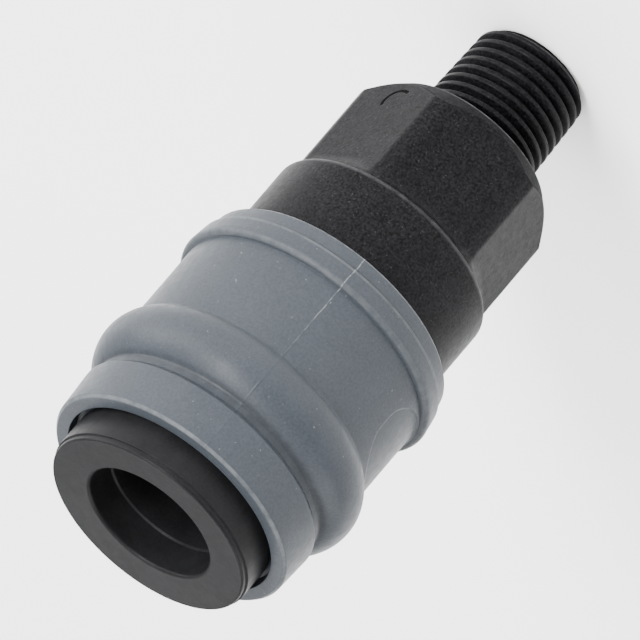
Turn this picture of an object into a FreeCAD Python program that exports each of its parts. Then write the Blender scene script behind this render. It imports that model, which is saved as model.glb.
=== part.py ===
import FreeCAD, Part
import math
import os
import Sketcher
from FreeCAD import Vector

# Pneumatic quick coupling, socket half, standing on its thread end with the nose up.
# Z is the coupling's axis. Heights are measured from the thread end, depths from the nose face.

doc = FreeCAD.newDocument("quick_coupling")

# Driving dimensions, in millimetres unless the note says otherwise
driving_dimensions = [
    ("thread_length", 13.5, "thread end to hexagon"),
    ("thread_radius", 6.58, "taper pipe thread, 1/4 size, at the gauge plane"),
    ("thread_chamfer", 0.8, "at the thread end"),
    ("relief_length", 1.7, "plain groove between thread and hexagon"),
    ("relief_radius", 5.8, "of that groove"),
    ("passage_radius", 3.9, "air passage through the thread"),
    ("hexagon_length", 13.7, "hexagon to barrel"),
    ("hexagon_step", 2.1, "from a flat out to the barrel, so 22 mm across flats"),
    ("hexagon_end_drop", 0.3, "from a flat in to the flat end face beside the thread"),
    ("hexagon_turn", 4.4, "degrees, of the hexagon about the axis"),
    ("barrel_length", 15.9, "barrel to the face that the nose screws against"),
    ("barrel_wall", 3.4, "wall round the nose's tail, so the barrel is 26.2 mm thick"),
    ("barrel_round", 0.8, "barrel's edge above the hexagon"),
    ("guide_seat_width", 2.1, "step that the valve guide stands on"),
    ("stem_room", 7.7, "chamber left below the stem at full stroke"),
    ("guide_seat_depth", 13.5, "barrel face to the valve guide's seat"),
    ("nose_reach", 25.6, "barrel face to nose face"),
    ("head_wall", 4.7, "nose ring seen in front of the sleeve, from the socket's wall out"),
    ("head_length", 5.2, "nose face to the back of the ring"),
    ("head_round", 0.9, "outer edge of the nose face"),
    ("tail_length", 8.5, "stretch of the nose that screws into the barrel"),
    ("tail_step", 0.35, "shoulder by which the nose sits on the barrel"),
    ("tail_wall", 1.2, "wall of that stretch"),
    ("mouth_step", 0.2, "mouth of the plug socket, wider than the socket"),
    ("mouth_round", 1.5, "edge of the mouth"),
    ("mouth_depth", 3.9, "nose face to the step in the socket"),
    ("socket_radius", 7.3, "plug socket behind the step"),
    ("socket_relief", 0.2, "widening from the lock balls to the packing"),
    ("socket_margin", 0.1, "ball holes to the end of the plug socket's wall"),
    ("packing_depth", 13.2, "nose face to the packing"),
    ("packing_length", 3.0, "plug packing"),
    ("packing_grip", 0.4, "its lip stands into the socket"),
    ("seat_length", 4.0, "valve seat ring"),
    ("seat_wall", 3.05, "wall of the seat ring"),
    ("seat_lip", 0.3, "height of the lip that the valve closes on"),
    ("seat_lip_width", 0.9, "of that lip"),
    ("clip_thickness", 0.9, "snap ring behind the seat ring"),
    ("clip_width", 1.2, "its section, across"),
    ("clip_bite", 0.4, "depth of its groove in the nose"),
    ("clip_gap", 40.0, "degrees, its opening"),
    ("ball_radius", 1.8, "lock ball"),
    ("ball_depth", 10.6, "nose face to the ball's centre"),
    ("ball_reach", 0.9, "how far a ball stands into the socket"),
    ("release_travel", 4.5, "stroke of the sleeve"),
    ("sleeve_setback", 3.8, "nose face to sleeve"),
    ("sleeve_length", 28.1, "sleeve"),
    ("rim_wall", 2.0, "wall of the sleeve's front rim, at the rim's back"),
    ("rim_taper", 0.25, "by which the rim narrows to its front edge"),
    ("rim_length", 5.0, "front rim"),
    ("rim_chamfer", 0.35, "front edge of the rim"),
    ("rim_gap", 0.7, "between nose ring and rim"),
    ("groove_depth", 0.65, "finger groove, below the rim"),
    ("groove_length", 1.7, "finger groove"),
    ("bulge_length", 6.6, "bead behind the groove"),
    ("bulge_round", 4.1, "radius of the bead's section"),
    ("waist_wall", 1.7, "plain stretch of the sleeve"),
    ("flange_length", 4.7, "rear flange"),
    ("flange_height", 0.7, "rear flange above the plain stretch"),
    ("flange_round", 0.55, "front edge of the flange"),
    ("flange_lip_length", 2.05, "stepped lip at the sleeve's end"),
    ("flange_lip_drop", 0.5, "lip below the flange, where it leaves it"),
    ("flange_lip_step", 0.22, "step from the lip up to the flange"),
    ("flange_lip_taper", 0.3, "from there to the sleeve's end"),
    ("land_length", 3.8, "land that keeps the balls in"),
    ("cam_overrun", 0.6, "cone left ahead of the balls at full stroke"),
    ("panel_margin", 0.2, "flange to oval panel"),
    ("panel_overlap", 0.2, "oval panel into the back of the bead"),
    ("panel_reach", 17.5, "oval panel across the sleeve"),
    ("panel_depth", 0.2, "oval panel"),
    ("sleeve_wire", 1.1, "thickness of the sleeve spring's wire"),
    ("sleeve_coils", 4.5, "turns of the sleeve spring"),
    ("poppet_cover", 1.4, "valve head beyond the seat ring's opening"),
    ("poppet_thickness", 2.2, "valve head"),
    ("cage_gap", 0.5, "seat ring to the slotted cage that the plug pushes"),
    ("cage_wall", 1.4, "wall of the cage"),
    ("cage_reach", 1.7, "cage in front of the seat ring"),
    ("slot_width", 2.6, "slots in the cage"),
    ("stem_radius", 2.0, "valve stem"),
    ("stem_overhang", 0.4, "stem beyond its guide"),
    ("seal_thickness", 1.4, "rubber ring on the valve head"),
    ("valve_travel", 5.0, "stroke of the valve"),
    ("valve_wire", 0.9, "thickness of the valve spring's wire"),
    ("valve_coils", 5.5, "turns of the valve spring"),
    ("valve_coil_gap", 1.95, "stem to the valve spring's wire"),
    ("guide_length", 2.3, "rim of the valve guide"),
    ("guide_rim", 1.6, "wall of that rim"),
    ("guide_disc", 1.2, "disc that the valve spring bears on"),
    ("guide_disc_margin", 0.65, "disc beyond the spring's wire"),
    ("guide_hub_wall", 1.2, "hub round the stem"),
    ("spoke_width", 1.8, "spokes of the valve guide"),
    ("ring_thickness", 1.1, "sealing ring between nose and barrel"),
    ("seat_ring_thickness", 1.1, "sealing ring round the seat ring"),
    ("fit_clearance", 0.05, "radial, between pieces that stay put"),
    ("slide_clearance", 0.05, "radial, between pieces that slide"),
    ("sleeve_clearance", 0.1, "radial, sleeve on barrel"),
    ("stop_gap", 0.1, "along the axis, between stops and springs and their seats"),
]

# Dimensions that follow from the driving ones, so that pieces that fit together change together
following_dimensions = [
    ("neck_radius", "socket_radius - ball_reach + 2 * ball_radius + slide_clearance", "nose behind its ring"),
    ("tail_radius", "neck_radius - tail_step", "stretch of the nose that screws into the barrel"),
    ("chamber_radius", "tail_radius - tail_wall", "inside of that stretch"),
    ("stem_chamber_radius", "chamber_radius - guide_seat_width", "chamber below the valve guide"),
    ("barrel_radius", "tail_radius + barrel_wall", "barrel that carries the sleeve"),
    ("hexagon_flats", "2 * (barrel_radius - hexagon_step)", "across flats"),
    ("hexagon_corners", "2 * (barrel_radius - barrel_round)", "across the turned corners"),
    ("hexagon_end_radius", "hexagon_flats / 2 - hexagon_end_drop", "flat end face beside the thread"),
    ("mouth_radius", "socket_radius + mouth_step", "mouth of the plug socket"),
    ("head_radius", "socket_radius + head_wall", "nose ring"),
    ("recess_radius", "head_radius + rim_gap", "recess in the sleeve's front"),
    ("rim_radius", "recess_radius + rim_wall", "sleeve's front rim"),
    ("groove_radius", "rim_radius - groove_depth", "finger groove"),
    ("waist_radius", "barrel_radius + sleeve_clearance + waist_wall", "plain stretch of the sleeve"),
    ("flange_radius", "waist_radius + flange_height", "rear flange"),
    ("flange_lip_radius", "flange_radius - flange_lip_drop", "lip, where it leaves the flange"),
    ("sleeve_end_radius", "flange_lip_radius - flange_lip_taper", "sleeve's end"),
    ("packing_lip_radius", "socket_radius - packing_grip", "inside of the packing's lip"),
    ("seat_radius", "chamber_radius - fit_clearance - seat_wall", "opening of the seat ring"),
    ("poppet_radius", "seat_radius + poppet_cover", "valve head"),
    ("cage_radius", "seat_radius - cage_gap", "slotted cage that the plug pushes"),
    ("valve_coil_radius", "stem_radius + valve_coil_gap + valve_wire / 2", "middle of the valve spring's wire"),
    ("guide_disc_radius", "valve_coil_radius + valve_wire / 2 + guide_disc_margin", "disc that the valve spring bears on"),
    ("guide_hub_radius", "stem_radius + guide_hub_wall", "hub of the valve guide"),
]
ball_count = 8
slot_count = 4
spoke_count = 3
wire_sides = 8

sheet = doc.addObject("Spreadsheet::Sheet", "Sizes")
for row, (alias, value, note) in enumerate(driving_dimensions + following_dimensions, start=1):
    sheet.set("A%d" % row, alias)
    sheet.set("B%d" % row, "=" + value if isinstance(value, str) else str(value))
    sheet.set("C%d" % row, note)
    sheet.setAlias("B%d" % row, alias)
doc.recompute()

# Heights and radii that follow from the sheet
hexagon_bottom = "Sizes.thread_length"
hexagon_top = hexagon_bottom + " + Sizes.hexagon_length"
barrel_face = hexagon_top + " + Sizes.barrel_length"
nose_face = barrel_face + " + Sizes.nose_reach"
guide_seat = barrel_face + " - Sizes.guide_seat_depth"
tail_end = barrel_face + " - Sizes.tail_length"
ring_seat = tail_end + " - Sizes.ring_thickness"
head_back = nose_face + " - Sizes.head_length"
packing_front = nose_face + " - Sizes.packing_depth"
seat_front = packing_front + " - Sizes.packing_length"
seat_back = seat_front + " - Sizes.seat_length"
ball_height = nose_face + " - Sizes.ball_depth"
ball_place = "Sizes.socket_radius - Sizes.ball_reach + Sizes.ball_radius"
neck_radius = "Sizes.neck_radius"
land_radius = neck_radius + " + Sizes.slide_clearance"
chamber_radius = "Sizes.chamber_radius"
inner_piece_radius = chamber_radius + " - Sizes.fit_clearance"
tail_socket_radius = "Sizes.tail_radius + Sizes.fit_clearance"
sleeve_bore = "Sizes.barrel_radius + Sizes.sleeve_clearance"
sleeve_front = nose_face + " - Sizes.sleeve_setback"
sleeve_end = sleeve_front + " - Sizes.sleeve_length"
land_back = ball_height + " - Sizes.land_length"
clip_top = seat_back
clip_bottom = seat_back + " - Sizes.clip_thickness"
clip_groove_radius = chamber_radius + " + Sizes.clip_bite"
head_front = seat_back + " - Sizes.seat_lip - Sizes.stop_gap - Sizes.seal_thickness"
poppet_back = head_front + " - Sizes.poppet_thickness"
guide_top = guide_seat + " + Sizes.guide_length"
guide_disc_top = guide_top + " + Sizes.guide_disc"
stem_end = guide_seat + " - Sizes.stem_overhang"
chamber_floor = stem_end + " - Sizes.valve_travel - Sizes.stem_room"


def origin_plane(body, role):
    return [feature for feature in body.Origin.OriginFeatures if feature.Role == role][0]


def new_sketch(body, name, role):
    sketch = body.newObject("Sketcher::SketchObject", name)
    sketch.AttachmentSupport = [(origin_plane(body, role), "")]
    sketch.MapMode = "FlatFace"
    return sketch


def new_body(label):
    body = doc.addObject("PartDesign::Body", label)
    body.Label = label
    return body


def number(holder, expression):
    return float(holder.evalExpression(expression))


def arc_between(start, end, radius, side):
    # side is 1 where the arc stands out to the left of the way from start to end, and -1 to the right
    chord = end - start
    middle = (start + end) * 0.5
    across = Vector(-chord.y, chord.x, 0).normalize() * side
    back = (radius ** 2 - (chord.Length / 2) ** 2) ** 0.5
    centre = middle - across * back
    return Part.Arc(start, centre + across * radius, end)


def draw_outline(sketch, corners):
    # A corner is (across, up) as expressions. Two more entries, a radius and a side,
    # make the edge from it to the next corner an arc.
    places = [Vector(number(sketch, corner[0]), number(sketch, corner[1]), 0) for corner in corners]
    count = len(corners)
    starts = []
    for index, corner in enumerate(corners):
        start, end = places[index], places[(index + 1) % count]
        if len(corner) == 2:
            sketch.addGeometry(Part.LineSegment(start, end), False)
            starts.append(1)
        else:
            arc = arc_between(start, end, number(sketch, corner[2]), corner[3])
            sketch.addGeometry(arc, False)
            # an arc is stored counter-clockwise, so its first point may be the far end
            first = sketch.getPoint(index, 1)
            starts.append(1 if (first - start).Length < (first - end).Length else 2)
    for index in range(count):
        after = (index + 1) % count
        sketch.addConstraint(Sketcher.Constraint("Coincident", index, 3 - starts[index], after, starts[after]))
    for index, corner in enumerate(corners):
        if corner[0] == "0":
            sketch.addConstraint(Sketcher.Constraint("PointOnObject", index, starts[index], -2))
        else:
            bind_distance(sketch, "DistanceX", index, starts[index], places[index].x, corner[0])
        if corner[1] == "0":
            sketch.addConstraint(Sketcher.Constraint("PointOnObject", index, starts[index], -1))
        else:
            bind_distance(sketch, "DistanceY", index, starts[index], places[index].y, corner[1])
        if len(corner) > 2:
            size = number(sketch, corner[2])
            constraint = sketch.addConstraint(Sketcher.Constraint("Radius", index, size))
            sketch.setExpression("Constraints[%d]" % constraint, corner[2])


def bind_distance(sketch, kind, edge, point, size, expression):
    constraint = sketch.addConstraint(Sketcher.Constraint(kind, -1, 1, edge, point, size))
    sketch.setExpression("Constraints[%d]" % constraint, expression)


def revolve(body, name, corners):
    # a turned form: corners are (radius, height)
    sketch = new_sketch(body, name + "_outline", "XZ_Plane")
    draw_outline(sketch, corners)
    turned = body.newObject("PartDesign::Revolution", name)
    turned.Profile = sketch
    turned.ReferenceAxis = (sketch, ["V_Axis"])
    turned.Angle = 360
    doc.recompute()
    return turned


def pattern_round(body, name, features, copies):
    pattern = body.newObject("PartDesign::PolarPattern", name)
    pattern.Originals = features
    pattern.Axis = (origin_plane(body, "Z_Axis"), [""])
    pattern.Angle = 360
    pattern.Occurrences = copies
    body.Tip = pattern
    doc.recompute()
    return pattern


def check_cut(body, before, name):
    # a cut that points away from the solid removes nothing and shows no error
    if body.Shape.Volume > before - 0.01:
        raise RuntimeError(name + " cuts nothing")


# Threaded body: thread, hexagon and barrel in one moulding, bored through
def make_threaded_body():
    body = new_body("threaded_body")
    end_radius = "Sizes.thread_radius - Sizes.thread_chamfer"
    relief_start = hexagon_bottom + " - Sizes.relief_length"
    relief_cone = "Sizes.thread_radius - Sizes.relief_radius"
    corner_radius = "Sizes.hexagon_corners / 2"
    corner_height = hexagon_bottom + " + Sizes.hexagon_corners / 2 - Sizes.hexagon_end_radius"
    guide_bore = inner_piece_radius + " + Sizes.fit_clearance"
    chamber_cone = chamber_floor + " + Sizes.stem_chamber_radius - Sizes.passage_radius"
    revolve(body, "moulding", [
        ("Sizes.passage_radius", "0"),
        (end_radius, "0"),
        ("Sizes.thread_radius", "Sizes.thread_chamfer"),
        ("Sizes.thread_radius", relief_start + " - (" + relief_cone + ")"),
        ("Sizes.relief_radius", relief_start),
        ("Sizes.relief_radius", hexagon_bottom),
        ("Sizes.hexagon_end_radius", hexagon_bottom),
        (corner_radius, corner_height),
        (corner_radius, hexagon_top, "Sizes.barrel_round", -1),
        ("Sizes.barrel_radius", hexagon_top + " + Sizes.barrel_round"),
        ("Sizes.barrel_radius", barrel_face),
        (tail_socket_radius, barrel_face),
        (tail_socket_radius, ring_seat),
        (guide_bore, ring_seat),
        (guide_bore, guide_seat),
        ("Sizes.stem_chamber_radius", guide_seat),
        ("Sizes.stem_chamber_radius", chamber_cone),
        ("Sizes.passage_radius", chamber_floor),
    ])
    before = body.Shape.Volume
    sketch = new_sketch(body, "flat_outline", "XY_Plane")
    sketch.setExpression("AttachmentOffset.Rotation.Angle", "-Sizes.hexagon_turn")
    half_side = "Sizes.hexagon_corners / 2"
    draw_outline(sketch, [
        ("-" + half_side, "-Sizes.barrel_radius"),
        (half_side, "-Sizes.barrel_radius"),
        (half_side, "-Sizes.hexagon_flats / 2"),
        ("-" + half_side, "-Sizes.hexagon_flats / 2"),
    ])
    flat = body.newObject("PartDesign::Pocket", "flat")
    flat.Profile = sketch
    flat.Reversed = True
    flat.setExpression("Length", hexagon_top)
    doc.recompute()
    pattern_round(body, "hexagon", [flat], 6)
    check_cut(body, before, "hexagon")
    return body


# Nose: ring in front, neck with the ball holes, tail that screws into the barrel
def make_nose():
    body = new_body("nose_body")
    step_height = nose_face + " - Sizes.mouth_depth"
    step_width = "Sizes.mouth_radius - Sizes.socket_radius"
    hole_radius = "Sizes.ball_radius + Sizes.slide_clearance"
    wall_end = ball_height + " + " + hole_radius + " + Sizes.socket_margin"
    relief_radius = "Sizes.socket_radius + Sizes.socket_relief"
    revolve(body, "turning", [
        (chamber_radius, tail_end),
        ("Sizes.tail_radius", tail_end),
        ("Sizes.tail_radius", barrel_face),
        (neck_radius, barrel_face),
        (neck_radius, head_back),
        ("Sizes.head_radius", head_back),
        ("Sizes.head_radius", nose_face + " - Sizes.head_round", "Sizes.head_round", -1),
        ("Sizes.head_radius - Sizes.head_round", nose_face),
        ("Sizes.mouth_radius + Sizes.mouth_round", nose_face, "Sizes.mouth_round", -1),
        ("Sizes.mouth_radius", nose_face + " - Sizes.mouth_round"),
        ("Sizes.mouth_radius", step_height),
        ("Sizes.socket_radius", step_height + " - (" + step_width + ")"),
        ("Sizes.socket_radius", wall_end),
        (relief_radius, wall_end + " - Sizes.socket_relief"),
        (relief_radius, packing_front),
        (chamber_radius, packing_front),
        (chamber_radius, clip_top),
        (clip_groove_radius, clip_top),
        (clip_groove_radius, clip_bottom),
        (chamber_radius, clip_bottom),
    ])
    before = body.Shape.Volume
    # a ball hole: a bore from outside that ends in a ball-shaped seat
    sketch = new_sketch(body, "ball_hole_outline", "XZ_Plane")
    sketch.setExpression("AttachmentOffset.Base.y", ball_height)
    seat_bottom = ball_place + " - (" + hole_radius + ")"
    draw_outline(sketch, [
        (seat_bottom, "0", hole_radius, 1),
        (ball_place, hole_radius),
        (neck_radius + " + Sizes.ball_radius", hole_radius),
        (neck_radius + " + Sizes.ball_radius", "0"),
    ])
    hole = body.newObject("PartDesign::Groove", "ball_hole")
    hole.Profile = sketch
    hole.ReferenceAxis = (sketch, ["H_Axis"])
    hole.Angle = 360
    doc.recompute()
    pattern_round(body, "ball_holes", [hole], ball_count)
    check_cut(body, before, "ball holes")
    return body


# Release sleeve: rim, finger groove, bead, waist and flange outside; recess, cam cone and land inside
def make_sleeve():
    blank = new_body("sleeve_blank")
    recess_floor = head_back + " - Sizes.stop_gap"
    cam_length = "Sizes.release_travel + Sizes.cam_overrun"
    cam_radius = land_radius + " + (" + cam_length + ") * Sizes.ball_reach / Sizes.release_travel"
    rim_back = sleeve_front + " - Sizes.rim_length"
    groove_back = rim_back + " - Sizes.groove_length"
    groove_drop = "Sizes.rim_radius - Sizes.groove_radius"
    bulge_back = groove_back + " - Sizes.bulge_length"
    flange_front = sleeve_end + " + Sizes.flange_length"
    lip_start = sleeve_end + " + Sizes.flange_lip_length"
    rim_front_radius = "Sizes.rim_radius - Sizes.rim_taper"
    revolve(blank, "moulding", [
        (sleeve_bore, sleeve_end),
        ("Sizes.sleeve_end_radius - Sizes.rim_chamfer", sleeve_end),
        ("Sizes.sleeve_end_radius", sleeve_end + " + Sizes.rim_chamfer"),
        ("Sizes.flange_lip_radius", lip_start),
        ("Sizes.flange_lip_radius + Sizes.flange_lip_step", lip_start),
        ("Sizes.flange_radius", flange_front + " - Sizes.flange_round", "Sizes.flange_round", -1),
        ("Sizes.flange_radius - Sizes.flange_round", flange_front),
        ("Sizes.waist_radius", flange_front),
        ("Sizes.waist_radius", bulge_back, "Sizes.bulge_round", -1),
        ("Sizes.groove_radius", groove_back),
        ("Sizes.groove_radius", rim_back + " - (" + groove_drop + ")"),
        ("Sizes.rim_radius", rim_back),
        (rim_front_radius, sleeve_front + " - Sizes.rim_chamfer"),
        (rim_front_radius + " - Sizes.rim_chamfer", sleeve_front),
        ("Sizes.recess_radius", sleeve_front),
        ("Sizes.recess_radius", recess_floor),
        (cam_radius, recess_floor),
        (cam_radius, ball_height + " + " + cam_length),
        (land_radius, ball_height),
        (land_radius, land_back),
        (sleeve_bore, land_back),
    ])
    # the oval panel: an oval bar from the side in to the axis, less the round floor of the panel
    panel_bottom = flange_front + " + Sizes.panel_margin"
    panel_top = bulge_back + " + Sizes.panel_overlap"
    oval = doc.addObject("Part::Ellipse", "panel_oval")
    oval.setExpression("MajorRadius", "Sizes.panel_reach / 2")
    oval.setExpression("MinorRadius", "((" + panel_top + ") - (" + panel_bottom + ")) / 2")
    oval.Placement.Rotation = FreeCAD.Rotation(Vector(0, 1, 0), Vector(0, 0, 1), Vector(1, 0, 0), "XYZ")
    oval.setExpression("Placement.Base.x", "-Sizes.flange_radius")
    oval.setExpression("Placement.Base.z", "((" + panel_top + ") + (" + panel_bottom + ")) / 2")
    bar = doc.addObject("Part::Extrusion", "panel_bar")
    bar.Base = oval
    bar.DirMode = "Custom"
    bar.Dir = Vector(1, 0, 0)
    bar.setExpression("LengthFwd", "Sizes.flange_radius")
    bar.Solid = True
    floor = doc.addObject("Part::Cylinder", "panel_floor")
    floor.setExpression("Radius", "Sizes.waist_radius - Sizes.panel_depth")
    floor.setExpression("Height", "Sizes.sleeve_length")
    floor.setExpression("Placement.Base.z", sleeve_end)
    panel = doc.addObject("Part::Cut", "panel")
    panel.Base = bar
    panel.Tool = floor
    sleeve = doc.addObject("Part::Cut", "release_sleeve")
    sleeve.Base = blank
    sleeve.Tool = panel
    doc.recompute()
    check_cut(sleeve, blank.Shape.Volume, "sleeve panel")
    return sleeve


# Lock balls, in a ring, at rest in their seats
def make_balls():
    balls = []
    for index in range(ball_count):
        label = "lock_ball_%d" % (index + 1)
        ball = doc.addObject("Part::Sphere", label)
        ball.setExpression("Radius", "Sizes.ball_radius")
        turn = "%g deg" % (index * 360 / ball_count)
        ball.setExpression("Placement.Base.x", "(" + ball_place + ") * cos(" + turn + ")")
        ball.setExpression("Placement.Base.y", "(" + ball_place + ") * sin(" + turn + ")")
        ball.setExpression("Placement.Base.z", ball_height)
        balls.append(ball)
    return balls


# A spring standing on the axis, from one height up to another: an eight-sided wire along short straight steps
def make_spring(label, bottom, top, coil_radius, wire, coils, steps_per_turn):
    start = number(sheet, bottom + " + Sizes.stop_gap + " + wire + " / 2")
    end = number(sheet, top + " - Sizes.stop_gap - " + wire + " / 2")
    radius = number(sheet, coil_radius)
    turns = number(sheet, coils)
    steps = round(turns * steps_per_turn)
    nodes = []
    for step in range(steps + 1):
        angle = 2 * math.pi * turns * step / steps
        nodes.append(Vector(radius * math.cos(angle), radius * math.sin(angle), start + (end - start) * step / steps))
    path = doc.addObject("Part::Polygon", label + "_path")
    path.Nodes = nodes
    section = doc.addObject("Part::RegularPolygon", label + "_section")
    section.Polygon = wire_sides
    section.setExpression("Circumradius", wire + " / 2 / cos(%g deg)" % (180 / wire_sides))
    section.Placement = FreeCAD.Placement(nodes[0], FreeCAD.Rotation(Vector(1, 0, 0), 90))
    spring = doc.addObject("Part::Sweep", label)
    spring.Sections = [section]
    spring.Spine = (path, [])
    spring.Solid = True
    spring.Transition = "Right corner"
    doc.recompute()
    return spring


# Plug packing: a rubber ring whose lip closes on the plug
def make_packing():
    body = new_body("plug_packing")
    top = packing_front + " - Sizes.fit_clearance"
    bottom = seat_front + " + Sizes.fit_clearance"
    lip_wall = "(" + inner_piece_radius + " - Sizes.packing_lip_radius)"
    revolve(body, "moulding", [
        (inner_piece_radius, top),
        ("Sizes.socket_radius", top),
        ("Sizes.packing_lip_radius", bottom + " + Sizes.packing_length / 3"),
        ("Sizes.packing_lip_radius", bottom),
        ("Sizes.packing_lip_radius + " + lip_wall + " / 3", bottom),
        ("Sizes.packing_lip_radius + " + lip_wall + " / 2", bottom + " + Sizes.packing_length / 3"),
        (inner_piece_radius + " - " + lip_wall + " / 3", bottom),
        (inner_piece_radius, bottom),
    ])
    return body


# Seat ring: the valve closes on its back, a sealing ring lies in its groove
def make_seat_ring():
    body = new_body("seat_ring")
    middle = seat_front + " - Sizes.seat_length / 2"
    groove_half = "(Sizes.seat_ring_thickness / 2 + Sizes.fit_clearance)"
    groove_floor = inner_piece_radius + " - Sizes.seat_ring_thickness"
    lead_in = "(" + inner_piece_radius + " - Sizes.seat_radius) / 3"
    lip_back = seat_back + " - Sizes.seat_lip"
    revolve(body, "turning", [
        ("Sizes.seat_radius", lip_back),
        ("Sizes.seat_radius + Sizes.seat_lip_width", lip_back),
        ("Sizes.seat_radius + Sizes.seat_lip_width + Sizes.seat_lip", seat_back),
        (inner_piece_radius, seat_back),
        (inner_piece_radius, middle + " - " + groove_half),
        (groove_floor, middle + " - " + groove_half),
        (groove_floor, middle + " + " + groove_half),
        (inner_piece_radius, middle + " + " + groove_half),
        (inner_piece_radius, seat_front),
        ("Sizes.seat_radius + " + lead_in, seat_front),
        ("Sizes.seat_radius", seat_front + " - " + lead_in),
    ])
    return body


# Snap ring that holds the seat ring in the nose
def make_clip():
    body = new_body("snap_ring")
    outer = clip_groove_radius + " - Sizes.fit_clearance"
    inner = outer + " - Sizes.clip_width"
    top = clip_top + " - Sizes.fit_clearance"
    bottom = clip_bottom + " + Sizes.fit_clearance"
    ring = revolve(body, "bent_wire", [(inner, bottom), (outer, bottom), (outer, top), (inner, top)])
    ring.setExpression("Angle", "360 - Sizes.clip_gap")
    return body


# Sealing rings
def make_ring(label, thickness, outer_radius, middle_height):
    ring = doc.addObject("Part::Torus", label)
    ring.setExpression("Radius2", thickness + " / 2")
    ring.setExpression("Radius1", "(" + outer_radius + ") - " + thickness + " / 2")
    ring.setExpression("Placement.Base.z", middle_height)
    return ring


# Valve poppet: slotted cage in front, head, and a stem that runs in the guide
def make_poppet():
    body = new_body("valve_poppet")
    cage_top = seat_front + " + Sizes.cage_reach"
    cage_bore = "Sizes.cage_radius - Sizes.cage_wall"
    revolve(body, "moulding", [
        ("0", stem_end),
        ("Sizes.stem_radius", stem_end),
        ("Sizes.stem_radius", poppet_back),
        ("Sizes.poppet_radius", poppet_back),
        ("Sizes.poppet_radius", head_front),
        ("Sizes.cage_radius", head_front),
        ("Sizes.cage_radius", cage_top),
        (cage_bore, cage_top),
        (cage_bore, head_front),
        ("0", head_front),
    ])
    before = body.Shape.Volume
    sketch = new_sketch(body, "slot_outline", "XZ_Plane")
    slot_bottom = head_front + " + Sizes.seal_thickness"
    slot_top = cage_top + " - Sizes.cage_wall"
    draw_outline(sketch, [
        ("-Sizes.slot_width / 2", slot_bottom),
        ("Sizes.slot_width / 2", slot_bottom),
        ("Sizes.slot_width / 2", slot_top),
        ("-Sizes.slot_width / 2", slot_top),
    ])
    slot = body.newObject("PartDesign::Pocket", "slot")
    slot.Profile = sketch
    slot.setExpression("Length", "Sizes.cage_radius + Sizes.cage_wall")
    doc.recompute()
    pattern_round(body, "slots", [slot], slot_count)
    check_cut(body, before, "cage slots")
    return body


# Rubber ring on the valve head
def make_seal():
    body = new_body("valve_seal")
    inner = "Sizes.cage_radius + Sizes.fit_clearance"
    back = head_front + " + Sizes.fit_clearance"
    top = head_front + " + Sizes.seal_thickness"
    revolve(body, "moulding", [
        (inner, back),
        ("Sizes.poppet_radius", back),
        ("Sizes.poppet_radius", top + " - Sizes.seal_thickness / 4"),
        ("Sizes.poppet_radius - Sizes.seal_thickness / 4", top),
        (inner, top),
    ])
    return body


# Valve guide: rim on its seat in the barrel, spokes, hub and the disc under the spring
def make_guide():
    body = new_body("valve_guide")
    hub_bore = "Sizes.stem_radius + Sizes.slide_clearance"
    revolve(body, "hub", [
        (hub_bore, guide_seat),
        ("Sizes.guide_hub_radius", guide_seat),
        ("Sizes.guide_hub_radius", guide_top),
        ("Sizes.guide_disc_radius", guide_top),
        ("Sizes.guide_disc_radius", guide_disc_top),
        (hub_bore, guide_disc_top),
    ])
    sketch = new_sketch(body, "spoke_outline", "XY_Plane")
    sketch.setExpression("AttachmentOffset.Base.z", guide_seat)
    rim_inner = inner_piece_radius + " - Sizes.guide_rim"
    spoke_end = rim_inner + " + Sizes.guide_rim / 2"
    spoke_start = "(Sizes.guide_hub_radius + Sizes.stem_radius) / 2"
    draw_outline(sketch, [
        (spoke_start, "-Sizes.spoke_width / 2"),
        (spoke_end, "-Sizes.spoke_width / 2"),
        (spoke_end, "Sizes.spoke_width / 2"),
        (spoke_start, "Sizes.spoke_width / 2"),
    ])
    spoke = body.newObject("PartDesign::Pad", "spoke")
    spoke.Profile = sketch
    spoke.setExpression("Length", "Sizes.guide_length")
    doc.recompute()
    pattern_round(body, "spokes", [spoke], spoke_count)
    revolve(body, "rim", [
        (rim_inner, guide_seat),
        (inner_piece_radius, guide_seat),
        (inner_piece_radius, guide_top),
        (rim_inner, guide_top),
    ])
    return body


pieces = [make_threaded_body(), make_nose(), make_sleeve()]
pieces += make_balls()
sleeve_coil_radius = "(" + neck_radius + " + " + sleeve_bore + ") / 2"
pieces += [
    make_spring("sleeve_spring", barrel_face, land_back, sleeve_coil_radius, "Sizes.sleeve_wire", "Sizes.sleeve_coils", 20),
    make_packing(),
    make_seat_ring(),
    make_clip(),
    make_ring("seat_o_ring", "Sizes.seat_ring_thickness", inner_piece_radius, seat_front + " - Sizes.seat_length / 2"),
    make_ring("barrel_o_ring", "Sizes.ring_thickness", "Sizes.tail_radius", tail_end + " - Sizes.ring_thickness / 2"),
    make_poppet(),
    make_seal(),
    make_spring("valve_spring", guide_disc_top, poppet_back, "Sizes.valve_coil_radius", "Sizes.valve_wire", "Sizes.valve_coils", 16),
    make_guide(),
]
doc.recompute()

for thing in doc.Objects:
    if "Invalid" in thing.State or "Error" in thing.State:
        raise RuntimeError(thing.Label + " did not build: " + str(thing.State))
for piece in pieces:
    if piece.Shape.isNull() or not piece.Shape.isValid():
        raise RuntimeError(piece.Label + " has no sound shape")

os.makedirs("parts", exist_ok=True)
for piece in pieces:
    piece.Shape.exportStep("parts/" + piece.Label + ".step")
    box = piece.Shape.BoundBox
    print("%-16s volume %9.2f  z %.2f to %.2f" % (piece.Label, piece.Shape.Volume, box.ZMin, box.ZMax))
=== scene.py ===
# Pneumatic quick coupling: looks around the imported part, in metres and in the part's own frame.
# In the dictionaries of finishes and pieces, lengths are in millimetres and angles in degrees where no comment
# says otherwise, and scales are those of the noise nodes.
import math
import bmesh
import bpy
from mathutils import Matrix, Vector


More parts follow.
